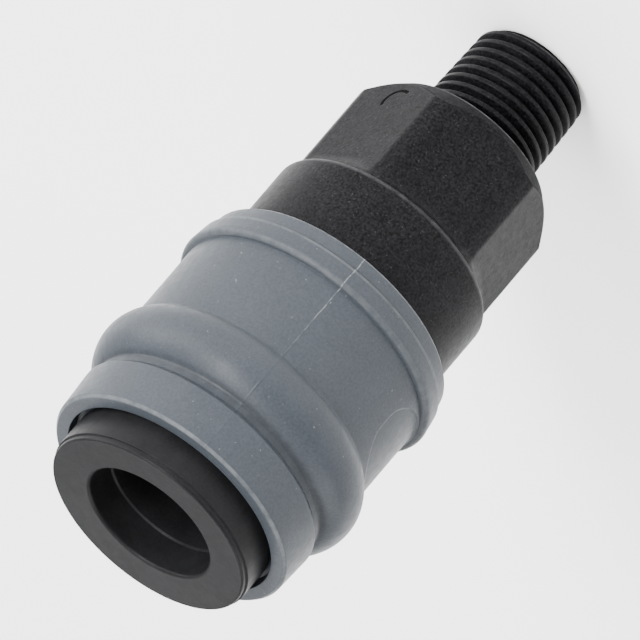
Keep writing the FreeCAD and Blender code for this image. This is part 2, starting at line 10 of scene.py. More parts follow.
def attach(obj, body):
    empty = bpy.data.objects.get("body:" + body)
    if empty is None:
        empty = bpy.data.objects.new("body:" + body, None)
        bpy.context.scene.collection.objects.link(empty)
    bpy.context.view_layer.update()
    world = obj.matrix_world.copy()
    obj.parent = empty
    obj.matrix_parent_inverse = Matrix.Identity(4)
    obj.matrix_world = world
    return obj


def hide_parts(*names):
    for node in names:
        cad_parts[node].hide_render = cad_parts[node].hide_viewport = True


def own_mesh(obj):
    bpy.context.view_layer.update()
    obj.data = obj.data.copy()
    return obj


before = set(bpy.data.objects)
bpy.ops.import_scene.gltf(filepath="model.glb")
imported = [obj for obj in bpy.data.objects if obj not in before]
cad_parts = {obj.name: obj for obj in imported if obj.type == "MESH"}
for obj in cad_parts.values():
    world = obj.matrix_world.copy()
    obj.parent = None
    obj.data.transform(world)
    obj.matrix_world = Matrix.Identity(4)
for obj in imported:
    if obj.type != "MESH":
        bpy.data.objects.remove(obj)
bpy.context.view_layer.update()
mm = 0.001
print("stage: frame loaded")


# Small helpers for node trees
def plug(tree, value, socket):
    if isinstance(value, bpy.types.NodeSocket):
        tree.links.new(value, socket)
    else:
        socket.default_value = value


def calc(tree, operation, *values):
    node = tree.nodes.new("ShaderNodeMath")
    node.operation = operation
    for index, value in enumerate(values):
        plug(tree, value, node.inputs[index])
    return node.outputs[0]


def total(tree, first, *others):
    for other in others:
        first = calc(tree, "ADD", first, other)
    return first


def product(tree, first, *others):
    for other in others:
        first = calc(tree, "MULTIPLY", first, other)
    return first


def difference(tree, first, second):
    return calc(tree, "SUBTRACT", first, second)


def hypotenuse(tree, first, second):
    return calc(tree, "SQRT", total(tree, product(tree, first, first), product(tree, second, second)))


def spread(tree, value, low, high, toLow, toHigh, kind="LINEAR"):
    node = tree.nodes.new("ShaderNodeMapRange")
    node.interpolation_type = kind
    names = ("Value", "From Min", "From Max", "To Min", "To Max")
    for name, item in zip(names, (value, low, high, toLow, toHigh)):
        plug(tree, item, node.inputs[name])
    return node.outputs[0]


def blendColour(tree, share, colour, other):
    node = tree.nodes.new("ShaderNodeMix")
    node.data_type = "RGBA"
    colours = [socket for socket in node.inputs if socket.type == "RGBA"]
    plug(tree, share, node.inputs[0])
    plug(tree, colour, colours[0])
    plug(tree, other + (1.0,), colours[1])
    return [socket for socket in node.outputs if socket.type == "RGBA"][0]


def noise(tree, place, scale, detail=2.0):
    node = tree.nodes.new("ShaderNodeTexNoise")
    plug(tree, place, node.inputs["Vector"])
    node.inputs["Scale"].default_value = scale
    node.inputs["Detail"].default_value = detail
    return node.outputs["Fac"]


def coordinates(tree, vector):
    node = tree.nodes.new("ShaderNodeSeparateXYZ")
    tree.links.new(vector, node.inputs[0])
    return node.outputs


# Distance of a place along a level direction
def distanceAlong(tree, place, x, y):
    node = tree.nodes.new("ShaderNodeVectorMath")
    node.operation = "DOT_PRODUCT"
    plug(tree, place, node.inputs[0])
    node.inputs[1].default_value = (x, y, 0.0)
    return node.outputs["Value"]


# Noise, most of which lies between 0.3 and 0.7, stretched over a span of its own
def mottling(tree, place, scale, detail, span):
    return spread(tree, noise(tree, place, scale, detail), 0.3, 0.7, span[0], span[1])


# Patches between a least share and one
def patchy(tree, place, patches):
    fog = noise(tree, place, patches["scale"])
    return spread(tree, fog, patches["from"], patches["to"], patches["least"], 1.0)


# A soft line: whole in its core, which is a share of the width, and gone at the width
def softLine(tree, offset, width, core, share=1.0):
    away = calc(tree, "ABSOLUTE", offset)
    return spread(tree, away, core * width * mm, width * mm, share, 0.0, "SMOOTHSTEP")


# Painted light and shade: a ring at one height, beyond a radius, lighter for a painted highlight along an edge
# or darker for painted shade in a crease or groove
paintedLineLook = {"core": 0.4, "patches": {"scale": 900.0, "from": 0.35, "to": 0.6, "least": 0.4}}


def paintedLightShare(tree, place, paintedLightLine):
    x, y, z = coordinates(tree, place)
    offset = difference(tree, z, paintedLightLine["height"] * mm)
    near = softLine(tree, offset, paintedLightLine["width"], paintedLineLook["core"], paintedLightLine["share"])
    outside = calc(tree, "GREATER_THAN", hypotenuse(tree, x, y), paintedLightLine["radius"] * mm)
    return product(tree, near, patchy(tree, place, paintedLineLook["patches"]), outside)


# The hexagon's chamfered end, duller than its flats: what lies below a cone, in a band of heights
def dullShare(tree, place, end):
    x, y, z = coordinates(tree, place)
    above = difference(tree, z, product(tree, hypotenuse(tree, x, y), end["slope"]))
    limit = (end["height"] - end["radius"] * end["slope"] + end["margin"]) * mm
    near = calc(tree, "COMPARE", z, end["bandMiddle"] * mm, end["bandHalf"] * mm)
    return product(tree, calc(tree, "LESS_THAN", above, limit), near, end["rough"])


# The broken flash line where the two halves of the mould met, in the plane x = 0
def partingShare(tree, place, line):
    x, _, z = coordinates(tree, place)
    drift = difference(tree, noise(tree, place, line["swayScale"], 1.0), 0.5)
    offset = total(tree, x, product(tree, drift, line["sway"] * mm))
    near = softLine(tree, offset, line["width"], line["core"])
    fading = spread(tree, z, line["strong"] * mm, line["faint"] * mm, line["share"], 0.0)
    return product(tree, near, patchy(tree, place, line["patches"]), fading)


# The small arc that the mould's gate left on one flat of the hexagon; its near-black colour is painted shade
# in the arc's groove
def gateShare(tree, place, mark):
    turn = math.radians(mark["azimuth"])
    sideways = distanceAlong(tree, place, -math.sin(turn), math.cos(turn))
    outwards = distanceAlong(tree, place, math.cos(turn), math.sin(turn))
    side = difference(tree, sideways, mark["middle"] * mm)
    up = difference(tree, coordinates(tree, place)[2], mark["height"] * mm)
    offset = difference(tree, hypotenuse(tree, side, up), mark["radius"] * mm)
    line = softLine(tree, offset, mark["width"], mark["core"])
    angle = calc(tree, "ARCTAN2", up, side)
    begin, end, fade = [math.radians(mark[name]) for name in ("from", "to", "fade")]
    opening = spread(tree, angle, begin, begin + fade, 0.0, 1.0, "SMOOTHSTEP")
    closing = spread(tree, angle, end - fade, end, 1.0, 0.0, "SMOOTHSTEP")
    front = calc(tree, "GREATER_THAN", outwards, mark["front"] * mm)
    return product(tree, line, front, opening, closing)


def newMaterial(name):
    material = bpy.data.materials.new(name)
    material.use_nodes = True
    return material, material.node_tree.nodes["Principled BSDF"]


# One finish: a base colour with slow mottling and a fine grain, and what its dictionary names of fine flecks,
# pale speckle, painted highlights and painted shade along edges, a parting line, a gate mark with painted
# shade in its groove and a dull end
grainDepth = 0.02
roughPatches = 0.4  # scale of the changes in roughness, as a share of the grain's scale


def makeFinish(look):
    material, shader = newMaterial(look["name"])
    tree = material.node_tree
    place = tree.nodes.new("ShaderNodeTexCoord").outputs["Object"]
    shade = mottling(tree, place, look["mottleScale"], 3.0, look["mottle"])
    if "fleck" in look:
        shade = product(tree, shade, mottling(tree, place, look["fleckScale"], 1.0, look["fleck"]))
    tinted = tree.nodes.new("ShaderNodeVectorMath")
    tinted.operation = "SCALE"
    tinted.inputs[0].default_value = look["colour"]
    plug(tree, shade, tinted.inputs["Scale"])
    colour = tinted.outputs[0]
    if "speckle" in look:
        speck = look["speckle"]
        spots = noise(tree, place, speck["scale"], 1.0)
        share = spread(tree, spots, speck["from"], speck["to"], 0.0, speck["share"])
        colour = blendColour(tree, share, colour, speck["colour"])
    # painted highlights along edges and painted shade in creases and grooves
    for paintedLightLine in look.get("edges", ()):
        colour = blendColour(tree, paintedLightShare(tree, place, paintedLightLine), colour, paintedLightLine["colour"])
    if "parting" in look:
        line = look["parting"]
        colour = blendColour(tree, partingShare(tree, place, line), colour, line["colour"])
    grain = noise(tree, place, look["grainScale"], 3.0)
    rough = mottling(tree, place, look["grainScale"] * roughPatches, 2.0, look["rough"])
    if "gateMark" in look:
        mark = look["gateMark"]
        groove = gateShare(tree, place, mark)
        # the arc's near-black colour is painted shade in its groove; its dent is in the bump
        colour = blendColour(tree, groove, colour, mark["colour"])
        grain = difference(tree, grain, product(tree, groove, mark["depth"]))
        rough = total(tree, rough, product(tree, groove, mark["rough"]))
    if "dullEnd" in look:
        rough = total(tree, rough, dullShare(tree, place, look["dullEnd"]))
    plug(tree, colour, shader.inputs["Base Color"])
    plug(tree, rough, shader.inputs["Roughness"])
    shader.inputs["Metallic"].default_value = look.get("metal", 0.0)
    shader.inputs["Specular IOR Level"].default_value = look.get("specular", 0.5)
    bump = tree.nodes.new("ShaderNodeBump")
    bump.inputs["Strength"].default_value = look["grain"]
    bump.inputs["Distance"].default_value = grainDepth * mm
    plug(tree, grain, bump.inputs["Height"])
    tree.links.new(bump.outputs[0], shader.inputs["Normal"])
    return material


bodyNylon = makeFinish({
    "name": "bodyNylon", "colour": (0.0027, 0.0026, 0.0031), "mottle": (0.85, 1.15), "mottleScale": 300.0,
    "fleck": (0.1, 2.7), "fleckScale": 3800.0,
    "speckle": {"scale": 3400.0, "from": 0.68, "to": 0.76, "share": 0.4, "colour": (0.035, 0.035, 0.035)},
    "edges": [
        # painted reflection of the floor on the barrel's rounded shoulder
        {"height": 27.6, "radius": 12.3, "width": 0.45, "share": 0.6, "colour": (0.03, 0.03, 0.032)},
        # painted highlight along the hexagon's end edge
        {"height": 12.76, "radius": 9.7, "width": 0.24, "share": 0.9, "colour": (0.06, 0.06, 0.062)},
    ],
    "dullEnd": {
        "height": 12.69, "radius": 9.97, "slope": 1.13, "margin": 0.06,
        "bandMiddle": 14.19, "bandHalf": 1.6, "rough": 0.28,
    },
    "gateMark": {
        "azimuth": -37.0, "front": 10.0, "middle": -0.35, "height": 16.6, "radius": 1.6,
        "width": 0.26, "core": 0.3, "from": -125, "to": 30, "fade": 12,
        # a near-black colour: painted shade in the arc's groove
        "depth": 14.0, "rough": 0.5, "colour": (0.0005, 0.0005, 0.0006),
    },
    "rough": (0.38, 0.48), "grain": 0.8, "grainScale": 3000.0, "specular": 0.056,
})
noseNylon = makeFinish({
    "name": "noseNylon", "colour": (0.0072, 0.0072, 0.0078), "mottle": (0.85, 1.15), "mottleScale": 500.0,
    "fleck": (0.87, 1.13), "fleckScale": 3600.0,
    "rough": (0.36, 0.44), "grain": 0.5, "grainScale": 3000.0, "specular": 0.055,
})
sleevePlastic = makeFinish({
    "name": "sleevePlastic", "colour": (0.03, 0.0345, 0.0405), "mottle": (0.95, 1.05), "mottleScale": 180.0,
    "fleck": (0.89, 1.11), "fleckScale": 3800.0,
    "speckle": {"scale": 2600.0, "from": 0.74, "to": 0.82, "share": 0.4, "colour": (0.16, 0.17, 0.18)},
    "edges": [
        # painted highlight along the rim's front outer edge
        {"height": 64.72, "radius": 13.9, "width": 0.2, "share": 0.35, "colour": (0.14, 0.145, 0.15)},
        # painted highlight along the sleeve's back end edge
        {"height": 36.95, "radius": 14.2, "width": 0.22, "share": 0.45, "colour": (0.15, 0.155, 0.16)},
        # painted highlight along the flange's front ridge
        {"height": 41.2, "radius": 15.2, "width": 0.4, "share": 0.3, "colour": (0.09, 0.095, 0.1)},
        # painted highlight along the lip step's outer edge
        {"height": 39.05, "radius": 15.25, "width": 0.2, "share": 0.35, "colour": (0.1, 0.105, 0.11)},
        # painted shade in the crease at the lip step
        {"height": 38.76, "radius": 14.8, "width": 0.2, "share": 0.5, "colour": (0.012, 0.014, 0.017)},
        # painted shade in the groove before the rim
        {"height": 58.6, "radius": 13.9, "width": 0.9, "share": 0.5, "colour": (0.015, 0.017, 0.02)},
    ],
    "parting": {
        "width": 0.09, "core": 0.25, "sway": 0.2, "swayScale": 500.0,
        "strong": 40.0, "faint": 51.5, "share": 0.8, "colour": (0.17, 0.18, 0.185),
        "patches": {"scale": 1500.0, "from": 0.4, "to": 0.56, "least": 0.25},
    },
    "rough": (0.36, 0.46), "grain": 0.8, "grainScale": 2800.0, "specular": 0.12,
})
innerAcetal = makeFinish({
    "name": "innerAcetal", "colour": (0.02, 0.02, 0.021), "mottle": (0.95, 1.05), "mottleScale": 200.0,
    "rough": (0.35, 0.42), "grain": 0.2, "grainScale": 2500.0,
})
rubberBlack = makeFinish({
    "name": "rubberBlack", "colour": (0.014, 0.014, 0.014), "mottle": (0.9, 1.1), "mottleScale": 260.0,
    "rough": (0.6, 0.72), "grain": 0.4, "grainScale": 4000.0,
})
springSteel = makeFinish({
    "name": "springSteel", "colour": (0.56, 0.56, 0.57), "mottle": (0.92, 1.05), "mottleScale": 700.0,
    "rough": (0.22, 0.32), "grain": 0.15, "grainScale": 5000.0, "metal": 1.0,
})
ballSteel = makeFinish({
    "name": "ballSteel", "colour": (0.68, 0.68, 0.7), "mottle": (0.97, 1.03), "mottleScale": 500.0,
    "rough": (0.1, 0.14), "grain": 0.05, "grainScale": 4000.0, "metal": 1.0,
})
print("stage: finishes made")


# Outlines of turned forms. Corners (radius, height, rounding, tag) become points (radius, height, tag) of a
# closed path.
def rounded(corners, steps=4, mostOfEdge=0.48):
    path = []
    for index, (radius, height, rounding, tag) in enumerate(corners):
        here = Vector((radius, height))
        before = Vector(corners[index - 1][:2]) - here
        after = Vector(corners[(index + 1) % len(corners)][:2]) - here
        if rounding <= 0:
            path.append((radius, height, tag))
            continue
        half = before.angle(after) / 2
        reach = min(rounding / math.tan(half), mostOfEdge * before.length, mostOfEdge * after.length)
        size = reach * math.tan(half)
        middle = here + (before.normalized() + after.normalized()).normalized() * (size / math.sin(half))
        start = here + before.normalized() * reach - middle
        end = here + after.normalized() * reach - middle
        for step in range(steps + 1):
            spot = middle + start.lerp(end, step / steps).normalized() * size
            path.append((spot.x, spot.y, tag))
    return path


# Corners of an arc that stands out to the right of the way from start to end, without its two ends
def arcCorners(start, end, radius, steps, tag):
    first, last = Vector(start), Vector(end)
    chord = last - first
    across = Vector((chord.y, -chord.x)).normalized()
    middle = (first + last) / 2 - across * math.sqrt(radius ** 2 - (chord.length / 2) ** 2)
    turn = 2 * math.asin(chord.length / 2 / radius)
    corners = []
    for step in range(1, steps):
        spot = middle + Matrix.Rotation(turn * step / steps, 2) @ (first - middle)
        corners.append((spot.x, spot.y, 0.0, tag))
    return corners


# More points on long edges, so that no step along the outline is longer than the limit for its height
def divided(path, limit):
    points = []
    for index, (radius, height, tag) in enumerate(path):
        after = path[(index + 1) % len(path)]
        length = math.hypot(after[0] - radius, after[1] - height)
        count = max(1, math.ceil(length / limit((height + after[1]) / 2, tag)))
        for step in range(count):
            share = step / count
            points.append((radius + (after[0] - radius) * share, height + (after[1] - height) * share, tag))
    return points


# Angles at which an outline is repeated: evenly spaced ones and extra ones, none closer than the least gap
def angleLines(count, extras, leastGap=0.12):
    lines = sorted([index * 360 / count for index in range(count)] + [extra % 360 for extra in extras])
    kept = [lines[0]]
    for line in lines[1:]:
        if line - kept[-1] > leastGap:
            kept.append(line)
    return kept


def linesAround(middle, step, each):
    return [middle + index * step for index in range(-each, each + 1)]


def addObject(name, data):
    thing = bpy.data.objects.new(name, data)
    bpy.context.scene.collection.objects.link(thing)
    return thing


# Writes an edited form back into its mesh, faces outwards, and makes a smooth object of it
def pieceFromForm(form, mesh, material):
    bmesh.ops.recalc_face_normals(form, faces=form.faces)
    form.to_mesh(mesh)
    form.free()
    mesh.polygons.foreach_set("use_smooth", [True] * len(mesh.polygons))
    mesh.materials.clear()
    mesh.materials.append(material)
    return addObject(mesh.name, mesh)


def meshFrom(name, points, faces, material):
    mesh = bpy.data.meshes.new(name)
    mesh.from_pydata(points, [], faces)
    form = bmesh.new()
    form.from_mesh(mesh)
    return pieceFromForm(form, mesh, material)


# A closed outline turned about the axis. shape(radius, height, tag, degrees) gives the radius at an angle.
def turnedPiece(name, path, angles, material, shape):
    points, faces = [], []
    count, rounds = len(path), len(angles)
    for degrees in angles:
        x, y = math.cos(math.radians(degrees)), math.sin(math.radians(degrees))
        for radius, height, tag in path:
            reach = shape(radius, height, tag, degrees) * mm
            points.append((reach * x, reach * y, height * mm))
    for turn in range(rounds):
        here, there = turn * count, (turn + 1) % rounds * count
        for index in range(count):
            after = (index + 1) % count
            faces.append((here + index, here + after, there + after, there + index))
    return meshFrom(name, points, faces, material)


def plainShape(radius, height, tag, degrees):
    return radius


def smoothMin(first, second, softness):
    near = max(softness - abs(first - second), 0) / softness
    return min(first, second) - near * near * softness / 4


# Threaded body: root of the thread, hexagon with turned corners, barrel, bored through. The last two rows
# say how fine its mesh is.
bodySizes = {
    "rootEnd": 5.85, "rootBase": 6.26, "threadTop": 11.3, "relief": 5.9, "reliefRun": 0.5, "passage": 3.9,
    "hexBottom": 12.69, "hexTop": 27.2, "flats": 22.0, "corners": 12.24, "endFace": 9.97, "endSlope": 1.13,
    "hexTurn": -97.0, "fillet": 0.3, "cornerBlend": 0.14,
    "barrel": 13.1, "barrelRound": 0.8, "barrelTop": 43.1, "socket": 9.75, "socketFloor": 33.5,
    "guideBore": 8.5, "guideSeat": 29.6, "chamber": 6.4, "chamberFloor": 16.5,
    "lines": 240, "edgeLines": 5, "edgeLineStep": 0.35, "arcSteps": 8,
    "plainStep": 2.5, "flatStep": 1.2, "fineStep": 0.1, "fineAboveChamfer": 0.5, "fineBelowTop": 0.45,
}


def makeBody(size):
    chamferTop = size["hexBottom"] + (size["corners"] - size["endFace"]) * size["endSlope"]
    shoulder = size["hexTop"] + size["barrelRound"]
    corners = [
        (size["passage"], 0.0, 0.12, "in"),
        (size["rootEnd"], 0.0, 0.05, "thread"),
        (size["rootBase"], size["threadTop"], 0.1, "thread"),
        (size["relief"], size["threadTop"] + size["reliefRun"], 0.2, "out"),
        (size["relief"], size["hexBottom"], 0.25, "out"),
        (size["endFace"], size["hexBottom"], 0.12, "hex"),
        (size["corners"], chamferTop, 0.12, "hex"),
        (size["corners"], size["hexTop"], 0.0, "out"),
    ]
    arcEnds = (size["barrel"] - size["barrelRound"], size["hexTop"]), (size["barrel"], shoulder)
    corners += arcCorners(*arcEnds, size["barrelRound"], size["arcSteps"], "out")
    corners += [
        (size["barrel"], shoulder, 0.0, "out"),
        (size["barrel"], size["barrelTop"], 0.25, "in"),
        (size["socket"], size["barrelTop"], 0.15, "in"),
        (size["socket"], size["socketFloor"], 0.1, "in"),
        (size["guideBore"], size["socketFloor"], 0.1, "in"),
        (size["guideBore"], size["guideSeat"], 0.1, "in"),
        (size["chamber"], size["guideSeat"], 0.1, "in"),
        (size["chamber"], size["chamberFloor"] + size["chamber"] - size["passage"], 0.3, "in"),
        (size["passage"], size["chamberFloor"], 0.3, "in"),
    ]

    def limit(height, tag):
        if tag != "hex":
            return size["plainStep"]
        nearChamfer = height < chamferTop + size["fineAboveChamfer"]
        nearTop = height > size["hexTop"] - size["fineBelowTop"]
        return size["fineStep"] if nearChamfer or nearTop else size["flatStep"]

    def shape(radius, height, tag, degrees):
        if tag != "hex":
            return radius
        offset = (degrees - size["hexTurn"] + 30) % 60 - 30
        above = max(height - (size["hexTop"] - size["fillet"]), 0)
        flat = size["flats"] / 2 + size["fillet"] - math.sqrt(max(size["fillet"] ** 2 - above ** 2, 0))
        return smoothMin(radius, flat / math.cos(math.radians(offset)), size["cornerBlend"])

    # closer lines where a flat passes into a turned corner
    extras = []
    toCorner = math.degrees(math.acos(size["flats"] / 2 / size["corners"]))
    for side in range(6):
        for sign in (-1, 1):
            middle = size["hexTurn"] + side * 60 + sign * toCorner
            extras += linesAround(middle, size["edgeLineStep"], size["edgeLines"])
    path = divided(rounded(corners), limit)
    return turnedPiece("threaded_body_form", path, angleLines(size["lines"], extras), bodyNylon, shape)


bodyForm = makeBody(bodySizes)
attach(bodyForm, "coupling_body")
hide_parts("threaded_body")
print("stage: threaded body made")


# Release sleeve: rim, groove, bead, waist with an oval panel, flange; recess, cam cone and land inside. The
# rows from lines on say how fine its mesh is.
sleeveSizes = {
    "end": 36.8, "front": 64.9, "bore": 13.2, "endRadius": 14.8, "lip": 15.1, "lipTop": 38.85,
    "lipStep": 15.36, "flange": 15.66, "flangeTop": 41.5, "flangeRound": 0.62, "waist": 14.9,
    "waistFoot": 0.12, "beadBack": 51.6, "beadFront": 58.35, "beadRound": 4.25,
    "groove": 14.05, "grooveRound": 0.5, "rimBack": 59.9, "rim": 14.7, "rimFront": 14.45, "rimEdge": 0.35,
    "recess": 12.7, "recessFloor": 63.4, "camTop": 11.12, "camEnd": 63.2,
    "land": 10.1, "landTop": 58.1, "landBack": 54.3,
    "panelMiddle": 46.65, "panelHalfUp": 5.1, "panelHalfAcross": 8.75, "panelPower": 2.6,
    "panelFloor": 14.68, "panelWall": 0.2, "panelCore": 0.5, "panelSide": -0.3,
    "seamHeight": 0.035, "seamHalfWidth": 0.1,
    "lines": 180, "panelLines": 150, "panelMargin": 0.3, "seamLines": 3, "seamLineStep": 0.2,
    "flangeSteps": 8, "beadSteps": 30, "innerStep": 3.0, "outerStep": 0.6,
    "panelStep": 0.11, "fineAbovePanel": 0.5,
}


def makeSleeve(size):
    flangeEdge = size["flange"] - size["flangeRound"]
    flangeSide = size["flangeTop"] - size["flangeRound"]
    corners = [
        (size["bore"], size["end"], 0.15, "in"),
        (size["endRadius"] - size["rimEdge"], size["end"], 0.1, "out"),
        (size["endRadius"], size["end"] + size["rimEdge"], 0.1, "out"),
        (size["lip"], size["lipTop"], 0.06, "out"),
        (size["lipStep"], size["lipTop"], 0.1, "out"),
        (size["flange"], flangeSide, 0.0, "out"),
    ]
    arcEnds = (size["flange"], flangeSide), (flangeEdge, size["flangeTop"])
    corners += arcCorners(*arcEnds, size["flangeRound"], size["flangeSteps"], "out")
    corners += [
        (flangeEdge, size["flangeTop"], 0.0, "out"),
        (size["waist"], size["flangeTop"], 0.0, "side"),
        (size["waist"], size["flangeTop"] + size["waistFoot"], 0.0, "side"),
        (size["waist"], size["beadBack"], 0.35, "side"),
    ]
    arcEnds = (size["waist"], size["beadBack"]), (size["groove"], size["beadFront"])
    bead = arcCorners(*arcEnds, size["beadRound"], size["beadSteps"], "side")
    corners += bead[:-1]  # its last corner gives room to the fillet at the groove
    corners += [
        (size["groove"], size["beadFront"], size["grooveRound"], "out"),
        (size["groove"], size["rimBack"] - (size["rim"] - size["groove"]), 0.4, "out"),
        (size["rim"], size["rimBack"], 0.3, "out"),
        (size["rimFront"], size["front"] - size["rimEdge"], 0.15, "out"),
        (size["rimFront"] - size["rimEdge"], size["front"], 0.15, "out"),
        (size["recess"], size["front"], 0.1, "in"),
        (size["recess"], size["recessFloor"], 0.1, "in"),
        (size["camTop"], size["recessFloor"], 0.0, "in"),
        (size["camTop"], size["camEnd"], 0.0, "in"),
        (size["land"], size["landTop"], 0.0, "in"),
        (size["land"], size["landBack"], 0.1, "in"),
        (size["bore"], size["landBack"], 0.1, "in"),
    ]
    fineTop = size["panelMiddle"] + size["panelHalfUp"] + size["fineAbovePanel"]

    def limit(height, tag):
        if tag == "side" and size["flangeTop"] < height < fineTop:
            return size["panelStep"]
        return size["outerStep"] if tag in ("out", "side") else size["innerStep"]

    def shape(radius, height, tag, degrees):
        if tag == "in":
            return radius
        angle = math.radians(degrees)
        if tag != "side" or math.cos(angle) > size["panelSide"]:
            fromSeam = abs(math.cos(angle)) * radius
            return radius + size["seamHeight"] * max(1 - fromSeam / size["seamHalfWidth"], 0)
        # a rounded oval: far is 0 in its middle and 1 at its edge, and its wall is equally wide all round
        power = size["panelPower"]
        across = abs(radius * math.sin(angle)) / size["panelHalfAcross"]
        up = abs(height - size["panelMiddle"]) / size["panelHalfUp"]
        far = (across ** power + up ** power) ** (1 / power)
        if far < size["panelCore"]:
            return min(radius, size["panelFloor"])
        steepAcross = across ** (power - 1) / size["panelHalfAcross"]
        steepUp = up ** (power - 1) / size["panelHalfUp"]
        depth = (1 - far) * far ** (power - 1) / math.hypot(steepAcross, steepUp) / size["panelWall"]
        share = min(max(depth, 0), 1)
        share = share * share * (3 - 2 * share)
        return radius + (min(radius, size["panelFloor"]) - radius) * share

    reach = math.degrees(math.asin((size["panelHalfAcross"] + size["panelMargin"]) / size["waist"]))
    count = size["panelLines"]
    extras = [180 - reach + 2 * reach * line / count for line in range(count + 1)]
    for middle in (90, 270):
        extras += linesAround(middle, size["seamLineStep"], size["seamLines"])
    path = divided(rounded(corners), limit)
    return turnedPiece("release_sleeve_form", path, angleLines(size["lines"], extras), sleevePlastic, shape)


sleeveForm = makeSleeve(sleeveSizes)
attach(sleeveForm, "release_sleeve")
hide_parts("release_sleeve")
print("stage: sleeve made,", len(sleeveForm.data.polygons), "faces")


# Nose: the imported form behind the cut, and before it a finer ring with a ledge, a raised face and the mouth.
# The last row says how fine its mesh is.
noseSizes = {
    "cut": 64.2, "socket": 7.3, "stepBack": 64.6, "stepFront": 64.8, "stepRound": 0.03,
    "mouth": 7.5, "mouthRound": 0.45, "mouthEdge": 68.5, "face": 68.8,
    "ring": 11.95, "ringRound": 0.3, "ledge": 68.1, "side": 12.15, "sideRound": 0.08,
    "lines": 240, "step": 0.6, "roundSteps": 8, "sharpAngle": 35, "weldDistance": 0.001,
}


def makeNose(size):
    corners = [
        (size["socket"], size["cut"], 0.0, "out"),
        (size["side"], size["cut"], 0.0, "out"),
        (size["side"], size["ledge"], size["sideRound"], "out"),
        (size["ring"], size["ledge"], size["sideRound"], "out"),
        (size["ring"], size["face"], size["ringRound"], "out"),
        (size["mouth"], size["mouthEdge"], size["mouthRound"], "out"),
        (size["mouth"], size["stepFront"], size["stepRound"], "out"),
        (size["socket"], size["stepBack"], size["stepRound"], "out"),
    ]
    path = divided(rounded(corners, size["roundSteps"]), lambda height, tag: size["step"])
    ring = turnedPiece("noseRing", path, angleLines(size["lines"], []), noseNylon, plainShape)
    form = bmesh.new()
    form.from_mesh(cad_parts["nose_body"].data)
    bmesh.ops.remove_doubles(form, verts=form.verts, dist=size["weldDistance"] * mm)
    whole = form.verts[:] + form.edges[:] + form.faces[:]
    level = (0, 0, size["cut"] * mm)
    cut = bmesh.ops.bisect_plane(form, geom=whole, plane_co=level, plane_no=(0, 0, 1), clear_outer=True)
    loops = [item for item in cut["geom_cut"] if isinstance(item, bmesh.types.BMEdge)]
    bmesh.ops.bridge_loops(form, edges=loops)
    form.from_mesh(ring.data)
    bpy.data.objects.remove(ring)
    nose = pieceFromForm(form, bpy.data.meshes.new("nose_body_form"), noseNylon)
    nose.data.set_sharp_from_angle(angle=math.radians(size["sharpAngle"]))
    return nose


noseForm = makeNose(noseSizes)
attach(noseForm, "coupling_body")
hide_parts("nose_body")
print("stage: nose made,", len(noseForm.data.polygons), "faces")


# Geometry node helpers: a tree with named inputs, points set round the axis, and a plain mesh of a tree
def newTree(name, inputs):
    tree = bpy.data.node_groups.new(name, "GeometryNodeTree")
    tree.interface.new_socket(name="Geometry", in_out="OUTPUT", socket_type="NodeSocketGeometry")
    identifiers = {}
    for label, value in inputs.items():
        kind = "NodeSocketInt" if isinstance(value, int) else "NodeSocketFloat"
        socket = tree.interface.new_socket(name=label, in_out="INPUT", socket_type=kind)
        identifiers[label] = socket.identifier
    return tree, tree.nodes.new("NodeGroupInput").outputs, identifiers


def placeRound(tree, geometry, reach, angle, height):
    joined = tree.nodes.new("ShaderNodeCombineXYZ")
    plug(tree, product(tree, reach, calc(tree, "COSINE", angle)), joined.inputs[0])
    plug(tree, product(tree, reach, calc(tree, "SINE", angle)), joined.inputs[1])
    plug(tree, height, joined.inputs[2])
    moved = tree.nodes.new("GeometryNodeSetPosition")
    tree.links.new(geometry, moved.inputs["Geometry"])
    tree.links.new(joined.outputs[0], moved.inputs["Position"])
    return moved.outputs["Geometry"]


def closeTree(tree, geometry, material):
    smooth = tree.nodes.new("GeometryNodeSetShadeSmooth")
    real = tree.nodes.new("GeometryNodeRealizeInstances")
    dressed = tree.nodes.new("GeometryNodeSetMaterial")
    dressed.inputs["Material"].default_value = material
    tree.links.new(geometry, smooth.inputs["Geometry"])
    tree.links.new(smooth.outputs["Geometry"], real.inputs["Geometry"])
    tree.links.new(real.outputs["Geometry"], dressed.inputs["Geometry"])
    tree.links.new(dressed.outputs["Geometry"], tree.nodes.new("NodeGroupOutput").inputs[0])


treeWeldDistance = 0.0001


def pieceFromTree(name, tree, identifiers, inputs, material):
    carrier = addObject(name + "Carrier", bpy.data.meshes.new(name + "Carrier"))
    modifier = carrier.modifiers.new("Nodes", "NODES")
    modifier.node_group = tree
    for label, value in inputs.items():
        modifier[identifiers[label]] = value
    bpy.context.view_layer.update()
    evaluated = carrier.evaluated_get(bpy.context.evaluated_depsgraph_get())
    mesh = bpy.data.meshes.new_from_object(evaluated)
    bpy.data.objects.remove(carrier)
    mesh.name = name
    form = bmesh.new()
    form.from_mesh(mesh)
    bmesh.ops.remove_doubles(form, verts=form.verts, dist=treeWeldDistance * mm)
    return pieceFromForm(form, mesh, material)


# Ridge of the taper pipe thread: a cylinder bent along a helix, its section a flat-topped ridge with a sunk
# foot. Lengths in the inputs of this tree and of the springs' are in metres. Section Split is where, across
# a section of radius one, the ridge ends and the sunk foot begins.
threadInputs = {
    "Steps": 760, "Section Points": 52, "Section Split": -0.001, "Turns": 9.1, "Pitch": 1.337 * mm,
    "Start Height": -0.5 * mm, "Start Turn": 0.712, "Root At Start": 5.87 * mm, "Taper": 0.036,
    "Depth": 0.7 * mm, "Flank Slope": 1.921, "Flank Under Root": 0.05 * mm, "Crest Flat": 0.46 * mm,
    "Crest Round": 0.16 * mm, "Sunk Foot": 0.25 * mm, "Run Out Turns": 0.8, "Run Out Under Root": 0.1 * mm,
    "End Radius": 5.75 * mm, "Lowest Point": 0.02 * mm,
}


